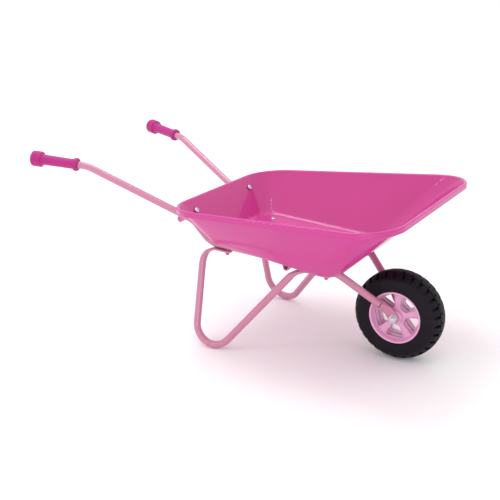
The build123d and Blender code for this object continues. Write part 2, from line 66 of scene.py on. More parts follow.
class Value:
    """A number socket that Python's operators turn into Math nodes."""

    def __init__(self, tree: bpy.types.NodeTree, socket: bpy.types.NodeSocket) -> None:
        """Wrap a socket.

        Args:
            tree: The material's node tree.
            socket: The output socket that gives the number.
        """
        self.tree = tree
        self.socket = socket

    def _math(self, operation: str, first: Any, second: Any = None) -> "Value":
        """Add one Math node.

        Args:
            operation: The node's operation.
            first: Its first input, a Value or a number.
            second: Its second input, or None.

        Returns:
            The node's output.
        """
        node = self.tree.nodes.new("ShaderNodeMath")
        node.operation = operation
        for index, item in enumerate((first, second)):
            if isinstance(item, Value):
                self.tree.links.new(item.socket, node.inputs[index])
            elif item is not None:
                node.inputs[index].default_value = item
        return Value(self.tree, node.outputs[0])

    def __add__(self, other: Any) -> "Value":
        """Sum."""
        return self._math("ADD", self, other)

    __radd__ = __add__

    def __sub__(self, other: Any) -> "Value":
        """Difference."""
        return self._math("SUBTRACT", self, other)

    def __rsub__(self, other: Any) -> "Value":
        """Difference taken from a number."""
        return self._math("SUBTRACT", other, self)

    def __mul__(self, other: Any) -> "Value":
        """Product."""
        return self._math("MULTIPLY", self, other)

    __rmul__ = __mul__

    def sine(self) -> "Value":
        """Sine of the value."""
        return self._math("SINE", self)

    def clamped(self) -> "Value":
        """The value held between 0 and 1."""
        return self._math("MINIMUM", self._math("MAXIMUM", self, 0.0), 1.0)


class Recipe:
    """The nodes of one material, added one after another."""

    def __init__(self, name: str) -> None:
        """Start a material with an empty node tree.

        Args:
            name: The material's name.
        """
        self.material = bpy.data.materials.new(name)
        self.material.use_nodes = True
        self.tree = self.material.node_tree
        self.tree.nodes.clear()
        self.place = self.add("ShaderNodeTexCoord").outputs["Object"]

    def add(self, kind: str, settings: dict[str, Any] | None = None, **sockets: Any) -> bpy.types.Node:
        """Add any node.

        Args:
            kind: The node's type.
            settings: Its own settings, set first; "stops" fills a ramp with (place, colour) pairs.
            sockets: Values or links by socket name, with spaces written as underscores.

        Returns:
            The node.
        """
        node = self.tree.nodes.new(kind)
        for key, setting in (settings or {}).items():
            if key == "stops":
                self._fill_ramp(node.color_ramp, setting)
            else:
                setattr(node, key, setting)
        for key, item in sockets.items():
            socket = self._input(node, key.replace("_", " "))
            if isinstance(item, Value):
                self.tree.links.new(item.socket, socket)
            elif isinstance(item, bpy.types.NodeSocket):
                self.tree.links.new(item, socket)
            else:
                socket.default_value = item
        return node

    @staticmethod
    def _input(node: bpy.types.Node, name: str) -> bpy.types.NodeSocket:
        """The enabled input of that name; a Mix node has several of one name."""
        return next(s for s in node.inputs if s.name == name and s.enabled)

    @staticmethod
    def _fill_ramp(ramp: bpy.types.ColorRamp, stops: Sequence[tuple[float, Sequence[float]]]) -> None:
        """Give a ramp its stops.

        Args:
            ramp: The ramp.
            stops: Place and colour of each stop.
        """
        while len(ramp.elements) < len(stops):
            ramp.elements.new(0.5)
        for element, (place, colour) in zip(ramp.elements, stops):
            element.position = place
            element.color = (*colour[:3], 1.0)

    def noise(self, scale: float, detail: float = 3.0, roughness: float = 0.5) -> Value:
        """Noise over the piece, 0 to 1.

        Args:
            scale: Waves per metre.
            detail: Octaves.
            roughness: Share of the finer octaves.

        Returns:
            The noise.
        """
        node = self.add(
            "ShaderNodeTexNoise", Vector=self.place, Scale=scale, Detail=detail, Roughness=roughness
        )
        return Value(self.tree, node.outputs["Fac"])

    def flecks(self, scale: float, edge: float) -> Value:
        """Small round flecks, 1 inside and 0 outside.

        Args:
            scale: Cells per metre.
            edge: Fleck's size as a share of a cell.

        Returns:
            The mask.
        """
        cells = self.add("ShaderNodeTexVoronoi", Vector=self.place, Scale=scale)
        ramp = self.add(
            "ShaderNodeValToRGB",
            {"stops": ((edge * 0.6, (1, 1, 1)), (edge, (0, 0, 0)))},
            Fac=cells.outputs["Distance"],
        )
        return Value(self.tree, ramp.outputs["Color"])

    def blend(self, share: Any, first: Any, second: Any) -> bpy.types.NodeSocket:
        """Mix two colours.

        Args:
            share: How much of the second shows, a Value or a number.
            first: A colour or a socket.
            second: A colour or a socket.

        Returns:
            The mixed colour.
        """
        node = self.tree.nodes.new("ShaderNodeMix")
        node.data_type = "RGBA"
        inputs = [s for s in node.inputs if s.enabled]
        for socket, item in zip(inputs, (share, first, second)):
            if isinstance(item, Value):
                self.tree.links.new(item.socket, socket)
            elif isinstance(item, bpy.types.NodeSocket):
                self.tree.links.new(item, socket)
            elif isinstance(item, tuple):
                socket.default_value = (*item, 1.0)
            else:
                socket.default_value = item
        return next(s for s in node.outputs if s.enabled)

    def bump(
        self, height: Value, depth: float, strength: float = 1.0, under: Any = None
    ) -> bpy.types.NodeSocket:
        """Turn a height into a bent normal.

        Args:
            height: The height, 0 to 1.
            depth: Height of 1, in metres.
            strength: Share of the effect.
            under: Normal of a coarser bump below this one, or None.

        Returns:
            The normal.
        """
        node = self.add("ShaderNodeBump", Strength=strength, Distance=depth, Height=height)
        if under is not None:
            self.tree.links.new(under, node.inputs["Normal"])
        return node.outputs["Normal"]

    def radius_about_axle(self) -> Value:
        """Distance from the wheel's axis.

        Returns:
            The distance in metres.
        """
        flat = self.add("ShaderNodeVectorMath", {"operation": "MULTIPLY"}, Vector=self.place)
        flat.inputs[1].default_value = (1.0, 0.0, 1.0)
        centre = self.add("ShaderNodeVectorMath", {"operation": "DISTANCE"})
        self.tree.links.new(flat.outputs[0], centre.inputs[0])
        centre.inputs[1].default_value = (AXLE.x, 0.0, AXLE.z)
        return Value(self.tree, centre.outputs["Value"])

    def finish(self, **sockets: Any) -> bpy.types.Material:
        """Close the material with its main shader.

        Args:
            sockets: Inputs of the Principled shader, by name with underscores.

        Returns:
            The material.
        """
        shader = self.add("ShaderNodeBsdfPrincipled", None, **sockets)
        self.add("ShaderNodeOutputMaterial", None, Surface=shader.outputs[0])
        return self.material


# ------------------------------------------------------------------ finishes


@dataclass(frozen=True)
class PowderCoat:
    """Glossy baked paint: soft tone drift, fine orange peel and a few dust nibs."""

    name: str
    slot: str
    colour: Colour
    deep: Colour
    gloss: float = 0.34
    peel: float = 0.00006
    coat: float = 0.25

    def make(self) -> bpy.types.Material:
        """Build the material."""
        mix = Recipe(self.name)
        drift = mix.noise(9.0, 2.0)
        mottle = mix.noise(160.0, 3.0)
        tone = mix.blend((drift * 0.7 + mottle * 0.3 - 0.22).clamped(), self.colour, self.deep)
        nibs = mix.flecks(420.0, 0.09)
        paint = mix.blend(nibs * 0.10, tone, tuple(min(1.0, c * 1.5 + 0.05) for c in self.colour))
        peel = mix.bump(mix.noise(750.0, 2.0), self.peel, 0.6)
        normal = mix.bump(nibs, 0.00005, 0.4, peel)
        return mix.finish(
            Base_Color=paint,
            Roughness=self.gloss + (mix.noise(45.0, 3.0) - 0.5) * 0.10 + nibs * 0.08,
            Normal=normal,
            Coat_Weight=self.coat,
            Coat_Roughness=0.05,
        )


@dataclass(frozen=True)
class SoftGrip:
    """Soft moulded plastic with a fine matt grain."""

    name: str
    slot: str
    colour: Colour
    deep: Colour

    def make(self) -> bpy.types.Material:
        """Build the material."""
        mix = Recipe(self.name)
        cloud = mix.noise(60.0, 3.0)
        grain = mix.noise(1900.0, 2.0)
        colour = mix.blend((cloud * 0.8 + grain * 0.3 - 0.2).clamped(), self.colour, self.deep)
        return mix.finish(
            Base_Color=colour,
            Roughness=0.46 + (grain - 0.5) * 0.16 + (cloud - 0.5) * 0.08,
            Normal=mix.bump(grain, 0.00008, 0.7, mix.bump(cloud, 0.0002, 0.3)),
            Specular_IOR_Level=0.4,
        )


@dataclass(frozen=True)
class MouldedPlastic:
    """Satin moulded plastic with faint flow marks and pale scuffs."""

    name: str
    slot: str
    colour: Colour
    deep: Colour

    def make(self) -> bpy.types.Material:
        """Build the material."""
        mix = Recipe(self.name)
        flow = mix.noise(38.0, 4.0, 0.6)
        grain = mix.noise(1500.0, 2.0)
        colour = mix.blend((flow * 0.9 - 0.15).clamped(), self.colour, self.deep)
        return mix.finish(
            Base_Color=colour,
            Roughness=0.30 + (flow - 0.5) * 0.16 + (grain - 0.5) * 0.06,
            Normal=mix.bump(grain, 0.00005, 0.5, mix.bump(flow, 0.0003, 0.25)),
            Coat_Weight=0.4,
            Coat_Roughness=0.06,
        )


@dataclass(frozen=True)
class TyreCompound:
    """Charcoal tyre: fine moulding rings on the wall, cloudy bloom and a dusty grain."""

    name: str
    slot: str
    colour: Colour
    bloom: Colour
    ring_pitch: float = 0.0011

    def make(self) -> bpy.types.Material:
        """Build the material."""
        mix = Recipe(self.name)
        radius = mix.radius_about_axle()
        rings = (radius * (2.0 * math.pi / self.ring_pitch)).sine() * 0.5 + 0.5
        wall = mix.add(
            "ShaderNodeMapRange",
            Value=radius,
            From_Min=0.0735,
            From_Max=0.0715,
        )
        on_wall = Value(mix.tree, wall.outputs["Result"])
        cloud = mix.noise(34.0, 5.0, 0.65)
        grain = mix.noise(1300.0, 3.0)
        dust = (cloud * 1.6 - 0.55).clamped() * 0.5 + grain * 0.25
        colour = mix.blend(dust.clamped(), self.colour, self.bloom)
        fine = mix.bump(rings * on_wall, 0.00012, 0.5)
        return mix.finish(
            Base_Color=colour,
            Roughness=0.52 + (cloud - 0.5) * 0.18 + (grain - 0.5) * 0.12,
            Normal=mix.bump(grain, 0.00012, 0.7, fine),
            Specular_IOR_Level=0.16,
        )


@dataclass(frozen=True)
class ZincPlate:
    """Bright plated steel with a cloudy, faintly scratched surface."""

    name: str
    slot: str
    colour: Colour
    dull: Colour

    def make(self) -> bpy.types.Material:
        """Build the material."""
        mix = Recipe(self.name)
        cloud = mix.noise(240.0, 4.0, 0.6)
        fine = mix.noise(2600.0, 2.0)
        return mix.finish(
            Base_Color=mix.blend((cloud * 1.1 - 0.1).clamped(), self.colour, self.dull),
            Roughness=0.24 + (cloud - 0.5) * 0.22 + fine * 0.06,
            Metallic=1.0,
            Normal=mix.bump(fine, 0.00003, 0.5),
        )


TRAY_PAINT = PowderCoat(
    "tray_magenta_paint", "tray_paint", (0.56, 0.016, 0.245), (0.50, 0.012, 0.215), gloss=0.42, coat=0.5
)
TUBE_PAINT = PowderCoat(
    "frame_pale_pink_paint", "frame_paint", (0.56, 0.205, 0.325), (0.52, 0.178, 0.292), gloss=0.26, coat=0.5
)
GRIP_SOFT = SoftGrip("grip_magenta", "grip", (0.44, 0.012, 0.20), (0.37, 0.009, 0.165))
WHEEL_PLASTIC = MouldedPlastic("wheel_lilac_pink", "wheel_plastic", (0.80, 0.40, 0.63), (0.72, 0.33, 0.56))
TYRE_COMPOUND = TyreCompound("tyre_charcoal", "tyre", (0.005, 0.004, 0.007), (0.015, 0.012, 0.018))
ZINC = ZincPlate("bright_zinc", "zinc", (0.78, 0.78, 0.80), (0.55, 0.55, 0.57))
CAP_PLASTIC = MouldedPlastic("nut_cap_pink", "nut_cap", (0.66, 0.10, 0.30), (0.56, 0.07, 0.25))
Finish = PowderCoat | SoftGrip | MouldedPlastic | TyreCompound | ZincPlate


class Palette:
    """Makes each finish once and hands it out."""

    _made: dict[str, bpy.types.Material] = {}

    @classmethod
    def get(cls, finish: Finish) -> bpy.types.Material:
        """The material of a finish.

        Args:
            finish: The finish.

        Returns:
            Its material, made on first use.
        """
        if finish.name not in cls._made:
            cls._made[finish.name] = finish.make()
        return cls._made[finish.name]


# ------------------------------------------------------------------ modelling tools


class Bench:
    """Operators and selections shared by every piece."""

    @staticmethod
    def clear() -> None:
        """Leave edit mode and deselect everything."""
        if bpy.context.object and bpy.context.object.mode != "OBJECT":
            bpy.ops.object.mode_set(mode="OBJECT")
        bpy.ops.object.select_all(action="DESELECT")

    @staticmethod
    def hold(piece: bpy.types.Object) -> None:
        """Make a piece the only selected and the active one.

        Args:
            piece: The piece.
        """
        Bench.clear()
        piece.select_set(True)
        bpy.context.view_layer.objects.active = piece

    @staticmethod
    def edit(piece: bpy.types.Object, mode: str = "VERT") -> None:
        """Open a piece for editing, with nothing selected.

        Args:
            piece: The piece.
            mode: VERT, EDGE or FACE.
        """
        Bench.hold(piece)
        bpy.ops.object.mode_set(mode="EDIT")
        bpy.ops.mesh.select_mode(type=mode)
        bpy.ops.mesh.select_all(action="DESELECT")

    @staticmethod
    def done() -> None:
        """Leave edit mode."""
        bpy.ops.object.mode_set(mode="OBJECT")

    @staticmethod
    def pick(piece: bpy.types.Object, wanted: Callable[[Any], bool], mode: str = "VERT") -> int:
        """Select vertices, edges or faces by a test.

        Args:
            piece: The piece in edit mode.
            wanted: The test, given a vertex, an edge's middle point or a face.
            mode: VERT, EDGE or FACE.

        Returns:
            How many are selected.
        """
        bpy.ops.object.mode_set(mode="OBJECT")
        mesh = piece.data
        items = {"VERT": mesh.vertices, "EDGE": mesh.edges, "FACE": mesh.polygons}[mode]
        for group in (mesh.vertices, mesh.edges, mesh.polygons):
            group.foreach_set("select", [False] * len(group))
        count = 0
        for item in items:
            if mode == "EDGE":
                ends = [mesh.vertices[i].co for i in item.vertices]
                chosen = wanted((ends[0] + ends[1]) / 2)
            else:
                chosen = wanted(item)
            item.select = chosen
            count += chosen
        bpy.ops.object.mode_set(mode="EDIT")
        bpy.ops.mesh.select_mode(type=mode)
        return count

    @staticmethod
    def apply(piece: bpy.types.Object, kind: str, **settings: Any) -> None:
        """Add a modifier and apply it.

        Args:
            piece: The piece.
            kind: The modifier's type.
            settings: Its settings.
        """
        Bench.hold(piece)
        modifier = piece.modifiers.new(kind.lower(), kind)
        for key, setting in settings.items():
            setattr(modifier, key, setting)
        bpy.ops.object.modifier_apply(modifier=modifier.name)

    @staticmethod
    def settle(piece: bpy.types.Object) -> None:
        """Write the object's place, turn and size into its mesh."""
        Bench.hold(piece)
        bpy.ops.object.transform_apply(location=True, rotation=True, scale=True)

    @staticmethod
    def outward(piece: bpy.types.Object, merge: float = 0.000005) -> None:
        """Merge doubled points and point every face outwards.

        Args:
            piece: The piece.
            merge: Distance below which two points count as one.
        """
        Bench.edit(piece)
        bpy.ops.mesh.select_all(action="SELECT")
        bpy.ops.mesh.remove_doubles(threshold=merge)
        bpy.ops.mesh.normals_make_consistent(inside=False)
        Bench.done()

    @staticmethod
    def join(pieces: Sequence[bpy.types.Object], name: str) -> bpy.types.Object:
        """Join pieces into one object.

        Args:
            pieces: The pieces, the first of which is kept.
            name: Name of the joined object.

        Returns:
            The joined object.
        """
        Bench.clear()
        for piece in pieces:
            piece.select_set(True)
        bpy.context.view_layer.objects.active = pieces[0]
        if len(pieces) > 1:
            bpy.ops.object.join()
        joined = bpy.context.object
        joined.name = name
        joined.data.name = name
        return joined

    @staticmethod
    def copy(piece: bpy.types.Object, name: str) -> bpy.types.Object:
        """Copy a piece together with its mesh.

        Args:
            piece: The piece.
            name: Name of the copy.

        Returns:
            The copy.
        """
        Bench.hold(piece)
        bpy.ops.object.duplicate(linked=False)
        twin = bpy.context.object
        twin.name = name
        twin.data.name = name
        return twin

    @staticmethod
    def smooth(piece: bpy.types.Object, degrees: float = 32.0) -> None:
        """Shade smooth, with sharp edges above an angle."""
        Bench.hold(piece)
        bpy.ops.object.shade_smooth_by_angle(angle=math.radians(degrees))

    @staticmethod
    def dress(piece: bpy.types.Object, finish: Finish) -> None:
        """Give a piece one finish.

        Args:
            piece: The piece.
            finish: Its finish.
        """
        piece.data.materials.clear()
        piece.data.materials.append(Palette.get(finish))

    @staticmethod
    def lathe(name: str, profile: Profile, segments: int, closed: bool = False) -> bpy.types.Object:
        """Turn a profile about Z by extruding and resizing one ring.

        Args:
            name: The piece's name.
            profile: (radius, height) of each ring in order.
            segments: Points round the ring.
            closed: True joins the last ring to the first; otherwise both ends are capped.

        Returns:
            The piece, with its axis along Z.
        """
        Bench.clear()
        radius, height = profile[0]
        bpy.ops.mesh.primitive_circle_add(
            vertices=segments, radius=radius, fill_type="NOTHING", location=(0, 0, 0)
        )
        piece = bpy.context.object
        piece.name = name
        Bench.edit(piece)
        bpy.ops.mesh.select_all(action="SELECT")
        bpy.ops.transform.translate(value=(0, 0, height))
        for next_radius, next_height in profile[1:]:
            bpy.ops.mesh.extrude_region_move(
                TRANSFORM_OT_translate={"value": (0, 0, next_height - height)}
            )
            share = next_radius / radius
            bpy.ops.transform.resize(value=(share, share, 1), center_override=(0, 0, next_height))
            radius, height = next_radius, next_height
        if closed:
            bpy.ops.mesh.select_all(action="DESELECT")
            bpy.ops.mesh.select_mode(type="EDGE")
            bpy.ops.mesh.select_non_manifold()
            bpy.ops.mesh.bridge_edge_loops()
        else:
            bpy.ops.mesh.edge_face_add()
            bpy.ops.mesh.select_all(action="DESELECT")
            bpy.ops.mesh.select_mode(type="EDGE")
            bpy.ops.mesh.select_non_manifold()
            bpy.ops.mesh.edge_face_add()
        Bench.done()
        Bench.outward(piece)
        return piece

    @staticmethod
    def aim(piece: bpy.types.Object, origin: Vector, axis: Vector) -> None:
        """Turn a piece's Z axis to a direction, move it to a point and settle it."""
        piece.matrix_world = Matrix.Translation(origin) @ axis.to_track_quat("Z", "Y").to_matrix().to_4x4()
        Bench.settle(piece)


# ------------------------------------------------------------------ tray


@dataclass
class Outline:
    """A rounded trapezoid, lying flat, to be tilted about the Y axis."""

    rear_x: float
    rear_z: float
    length: float
    rear_half: float
    front_half: float
    corner: float
    tilt: float
    segments: int = 14

    def grown(self, grow: float, lift: float, name: str) -> bpy.types.Object:
        """Make the outline as a face, grown sideways and lifted.

        Args:
            grow: How far its sides move out.
            lift: How far it moves up, square to its own plane.
            name: Name of the object and of its vertex group.

        Returns:
            The outline, with one face.
        """
        slope = (self.front_half - self.rear_half) / self.length
        stretch = math.hypot(1.0, slope)
        rear = self.rear_half + grow * (stretch - slope)
        front = self.front_half + grow * (stretch + slope)
        corner = self.corner + grow
        lean = math.degrees(math.atan(slope))
        Bench.clear()
        bpy.ops.mesh.primitive_plane_add(size=1, location=(0, 0, 0))
        piece = bpy.context.object
        piece.name = name
        Bench.edit(piece)
        bpy.ops.mesh.select_all(action="SELECT")
        bpy.ops.transform.translate(value=(0.5, 0, 0))
        bpy.ops.transform.resize(value=(self.length + 2 * grow, 1, 1), center_override=(0, 0, 0))
        bpy.ops.transform.translate(value=(-grow, 0, lift))
        middle = self.length / 2
        for half, at_front in ((rear, False), (front, True)):
            Bench.pick(piece, lambda v: (v.co.x > middle) == at_front)
            bpy.ops.transform.resize(value=(1, 2 * half, 1), center_override=(0, 0, 0))
        for turn, at_front in ((90 - lean, False), (90 + lean, True)):
            reach = corner * math.tan(math.radians(turn) / 2)
            Bench.pick(piece, lambda v: (v.co.x > middle) == at_front)
            bpy.ops.mesh.bevel(
                offset_type="OFFSET", offset=reach, segments=self.segments, profile=0.5, affect="VERTICES"
            )
        Bench.done()
        piece.rotation_euler = (0, -self.tilt, 0)
        piece.location = (self.rear_x, 0, self.rear_z)
        Bench.settle(piece)
        piece.vertex_groups.new(name=name).add(range(len(piece.data.vertices)), 1.0, "REPLACE")
        return piece


@dataclass
class Tray:
    """Pressed pan: flat floor, folded walls, rolled bead and a turned-down band with a hem."""

    sheet: float = 0.0009
    flange: float = 0.0070
    fold: float = 0.0080
    fold_steps: int = 6
    wall_cuts: int = 8
    level_room: float = 0.0004
    merge: float = 0.00004
    rim: Outline = field(
        default_factory=lambda: Outline(
            -0.08801, 0.2753, 0.46297, 0.1787, 0.2257, 0.073, math.atan2(0.0298, 0.462)
        )
    )
    floor: Outline = field(
        default_factory=lambda: Outline(
            -0.03701, 0.2004, 0.27251, 0.111, 0.129, 0.030, math.atan2(-0.0234, 0.2715)
        )
    )
    bead: tuple[tuple[float, float], ...] = (
        (-0.0070, -0.0042),
        (-0.0066, -0.0026),
        (-0.0057, -0.0012),
        (-0.0044, -0.0003),
        (-0.0030, 0.0),
        (-0.0016, -0.0003),
        (-0.0005, -0.0012),
        (0.0, -0.0027),
        (-0.0001, -0.0055),
        (-0.0004, -0.0082),
        (-0.0001, -0.0094),
        (-0.0003, -0.0104),
        (-0.0013, -0.0108),
        (-0.0021, -0.0102),
        (-0.0021, -0.0092),
    )

    def build(self) -> None:
        """Model the tray and put it in place of its plain node."""
        rings = [self.floor.grown(0.0, 0.0, "ring_00")]
        for index, (grow, lift) in enumerate(self.bead, start=1):
            rings.append(self.rim.grown(grow, lift, f"ring_{index:02d}"))
        pan = Bench.join(rings, "tray_shell")
        self._skin(pan, len(rings))
        self._fold_floor(pan)
        Bench.outward(pan, self.merge)
        self._face_up(pan)
        Bench.apply(pan, "SOLIDIFY", thickness=self.sheet, offset=-1.0)
        Bench.smooth(pan, 40)
        Bench.dress(pan, TRAY_PAINT)
        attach(pan, "frame")
        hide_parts("tray")
        LOG.info("tray: %d faces", len(pan.data.polygons))

    def _skin(self, pan: bpy.types.Object, count: int) -> None:
        """Bridge each outline to the next and keep only the floor's face.

        Args:
            pan: The joined outlines.
            count: How many outlines there are.
        """
        floor_face = min(pan.data.polygons, key=lambda f: f.center.z).index
        Bench.edit(pan, "FACE")
        Bench.pick(pan, lambda f: f.index != floor_face, "FACE")
        bpy.ops.mesh.delete(type="ONLY_FACE")
        bpy.ops.mesh.select_mode(type="VERT")
        for index in range(count - 1):
            bpy.ops.mesh.select_all(action="DESELECT")
            for ring in (index, index + 1):
                pan.vertex_groups.active = pan.vertex_groups[f"ring_{ring:02d}"]
                bpy.ops.object.vertex_group_select()
            cuts = self.wall_cuts if index == 0 else 0
            bpy.ops.mesh.bridge_edge_loops(number_cuts=cuts, interpolation="LINEAR")
        Bench.done()

    def _fold_floor(self, pan: bpy.types.Object) -> None:
        """Round the fold between floor and walls.

        Args:
            pan: The skinned pan.
        """
        slope = math.tan(self.floor.tilt)

        def on_fold(middle: Vector) -> bool:
            """Whether an edge lies on the floor's own outline."""
            level = self.floor.rear_z + slope * (middle.x - self.floor.rear_x)
            return abs(middle.z - level) < self.level_room

        Bench.edit(pan, "EDGE")
        picked = Bench.pick(pan, on_fold, "EDGE")
        bpy.ops.mesh.bevel(
            offset_type="OFFSET", offset=self.fold, segments=self.fold_steps, profile=0.5, affect="EDGES"
        )
        Bench.done()
        LOG.info("tray floor fold: %d edges", picked)

    @staticmethod
    def _face_up(pan: bpy.types.Object) -> None:
        """Make the floor's face look up, so that the wall gets its thickness below.

        Args:
            pan: The pan, still without thickness.
        """
        lowest = min(pan.data.polygons, key=lambda f: f.center.z - f.area * 10)
        if lowest.normal.z < 0:
            Bench.edit(pan)
            bpy.ops.mesh.select_all(action="SELECT")
            bpy.ops.mesh.flip_normals()
            Bench.done()


# ------------------------------------------------------------------ tubes


@dataclass
class TubeWork:
    """The bent tubes and pressed brace, whose shape is already right, in paint."""

    nodes: tuple[str, ...] = (
        "frame_tube_left",
        "frame_tube_right",
        "leg_left",
        "leg_right",
        "cross_brace",
        "rear_spacers",
    )

    def build(self) -> None:
        """Paint the tubes."""
        for name in self.nodes:
            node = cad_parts[name]
            node.data.materials.clear()
            node.data.materials.append(Palette.get(TUBE_PAINT))
        LOG.info("tube work: %d nodes painted", len(self.nodes))


# ------------------------------------------------------------------ grips


@dataclass
class Grip:
    """Soft hand grip: ringed knob, tapered sleeve and a rounded collar."""

    side: Side
    end: Vector = field(default_factory=lambda: Vector((AXLE.x - 0.7060, 0.19123, 0.34115)))
    bend: Vector = field(default_factory=lambda: Vector((AXLE.x - 0.5949, 0.1574, 0.3299)))
    profile: tuple[tuple[float, float], ...] = (
        (0.0060, 0.0000),
        (0.0112, 0.0001),
        (0.0134, 0.0007),
        (0.0148, 0.0020),
        (0.0153, 0.0040),
        (0.0153, 0.0080),
        (0.0150, 0.0086),
        (0.0146, 0.0092),
        (0.0150, 0.0098),
        (0.0153, 0.0104),
        (0.0153, 0.0140),
        (0.0150, 0.0146),
        (0.0146, 0.0152),
        (0.0150, 0.0158),
        (0.0153, 0.0164),
        (0.0153, 0.0196),
        (0.0149, 0.0208),
        (0.0138, 0.0214),
        (0.0118, 0.0220),
        (0.0106, 0.0232),
        (0.0102, 0.0260),
        (0.0100, 0.0500),
        (0.0098, 0.0700),
        (0.0098, 0.0860),
        (0.0100, 0.0882),
        (0.0106, 0.0892),
        (0.0121, 0.0896),
        (0.0128, 0.0905),
        (0.0130, 0.0925),
        (0.0129, 0.0950),
        (0.0122, 0.0968),
        (0.0110, 0.0978),
        (0.0095, 0.0986),
        (0.0082, 0.0988),
        (0.0073, 0.0984),
        (0.0072, 0.0930),
    )

    def build(self) -> None:
        """Model the grip and put it in place of its plain node."""
        flip = Vector((1, self.side.value, 1))
        axis = ((self.bend - self.end) * flip).normalized()
        name = f"grip_{self.side.label}"
        grip = Bench.lathe(f"soft_{name}", self.profile, 56)
        Bench.aim(grip, self.end * flip, axis)
        Bench.smooth(grip, 48)
        Bench.dress(grip, GRIP_SOFT)
        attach(grip, "frame")
        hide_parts(name)
        LOG.info("%s: %d faces", name, len(grip.data.polygons))


# ------------------------------------------------------------------ wheel


@dataclass
class Tyre:
    """Moulded tyre: ringed wall, two rows of shoulder lugs and a notched crown."""

    lugs: int = 30
    columns: int = 6
    groove: float = 0.0048
    groove_columns: int = 2
    row_groove: float = 0.0030
    notch: float = 0.0022
    notch_column: int = 2
    stagger: int = 3
    bevel: float = 0.00045
    half: tuple[tuple[float, float], ...] = (
        (0.0500, 0.0236),
        (0.0503, 0.0252),
        (0.0512, 0.0259),
        (0.0530, 0.0260),
        (0.0540, 0.0255),
        (0.0550, 0.0259),
        (0.0620, 0.0262),
        (0.0700, 0.0259),
        (0.0712, 0.0256),
        (0.0718, 0.0261),
        (0.0730, 0.0260),
        (0.0737, 0.0252),
        (0.0752, 0.0243),
        (0.0766, 0.0229),
        (0.0785, 0.0208),
        (0.0805, 0.0182),
        (0.0823, 0.0152),
        (0.0836, 0.0122),
        (0.0840, 0.0104),
        (0.0847, 0.0062),
        (0.0850, 0.0022),
    )

    def build(self) -> None:
        """Model the tyre and put it in place of its plain node."""
        near = [(r, -y) for r, y in self.half]
        far = [(r, y) for r, y in reversed(self.half)]
        tyre = Bench.lathe("lugged_tyre", near + far, self.lugs * self.columns, closed=True)
        Bench.edit(tyre, "FACE")
        for inside, depth in (
            (self._in_lug_groove, self.groove),
            (self._in_row_groove, self.row_groove),
            (self._in_notch, self.notch),
        ):
            Bench.pick(tyre, inside, "FACE")
            bpy.ops.mesh.extrude_region_shrink_fatten(TRANSFORM_OT_shrink_fatten={"value": -depth})
        Bench.done()
        Bench.outward(tyre)
        Bench.apply(
            tyre, "BEVEL", width=self.bevel, segments=2, limit_method="ANGLE", angle_limit=math.radians(38)
        )
        Bench.aim(tyre, AXLE, Vector((0, 1, 0)))
        Bench.smooth(tyre, 35)
        Bench.dress(tyre, TYRE_COMPOUND)
        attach(tyre, "wheel")
        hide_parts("tyre")
        LOG.info("tyre: %d faces", len(tyre.data.polygons))

    def _column(self, face: bpy.types.MeshPolygon) -> int:
        """Which column of the tread a face is in.

        Args:
            face: A face of the tyre, lying about Z.

        Returns:
            The column's number.
        """
        turn = math.atan2(face.center.y, face.center.x) % (2 * math.pi)
        return int(turn / (2 * math.pi) * self.lugs * self.columns)

    def _in_lug_groove(self, face: bpy.types.MeshPolygon) -> bool:
        """Whether a face lies in a groove between two shoulder lugs.

        Args:
            face: The face.

        Returns:
            True when it does.
        """
        radius = math.hypot(face.center.x, face.center.y)
        level = abs(face.center.z)
        column = self._column(face) + (self.stagger if face.center.z > 0 else 0)
        on_shoulder = 0.0122 < level < 0.0236 and radius > 0.0758
        return on_shoulder and column % self.columns < self.groove_columns

    def _in_row_groove(self, face: bpy.types.MeshPolygon) -> bool:
        """Whether a face lies in the groove between shoulder and crown.

        Args:
            face: The face.

        Returns:
            True when it does.
        """
        radius = math.hypot(face.center.x, face.center.y)
        return 0.0104 < abs(face.center.z) < 0.0122 and radius > 0.0830 and abs(face.normal.z) < 0.9

    def _in_notch(self, face: bpy.types.MeshPolygon) -> bool:
        """Whether a face lies in a short notch of the crown.

        Args:
            face: The face.

        Returns:
            True when it does.
        """
        radius = math.hypot(face.center.x, face.center.y)
        column = self._column(face) + (0 if face.center.z > 0 else self.stagger)
        inside = 0.0022 < abs(face.center.z) < 0.0104 and radius > 0.0838 and abs(face.normal.z) < 0.5
        return inside and column % self.columns == self.notch_column


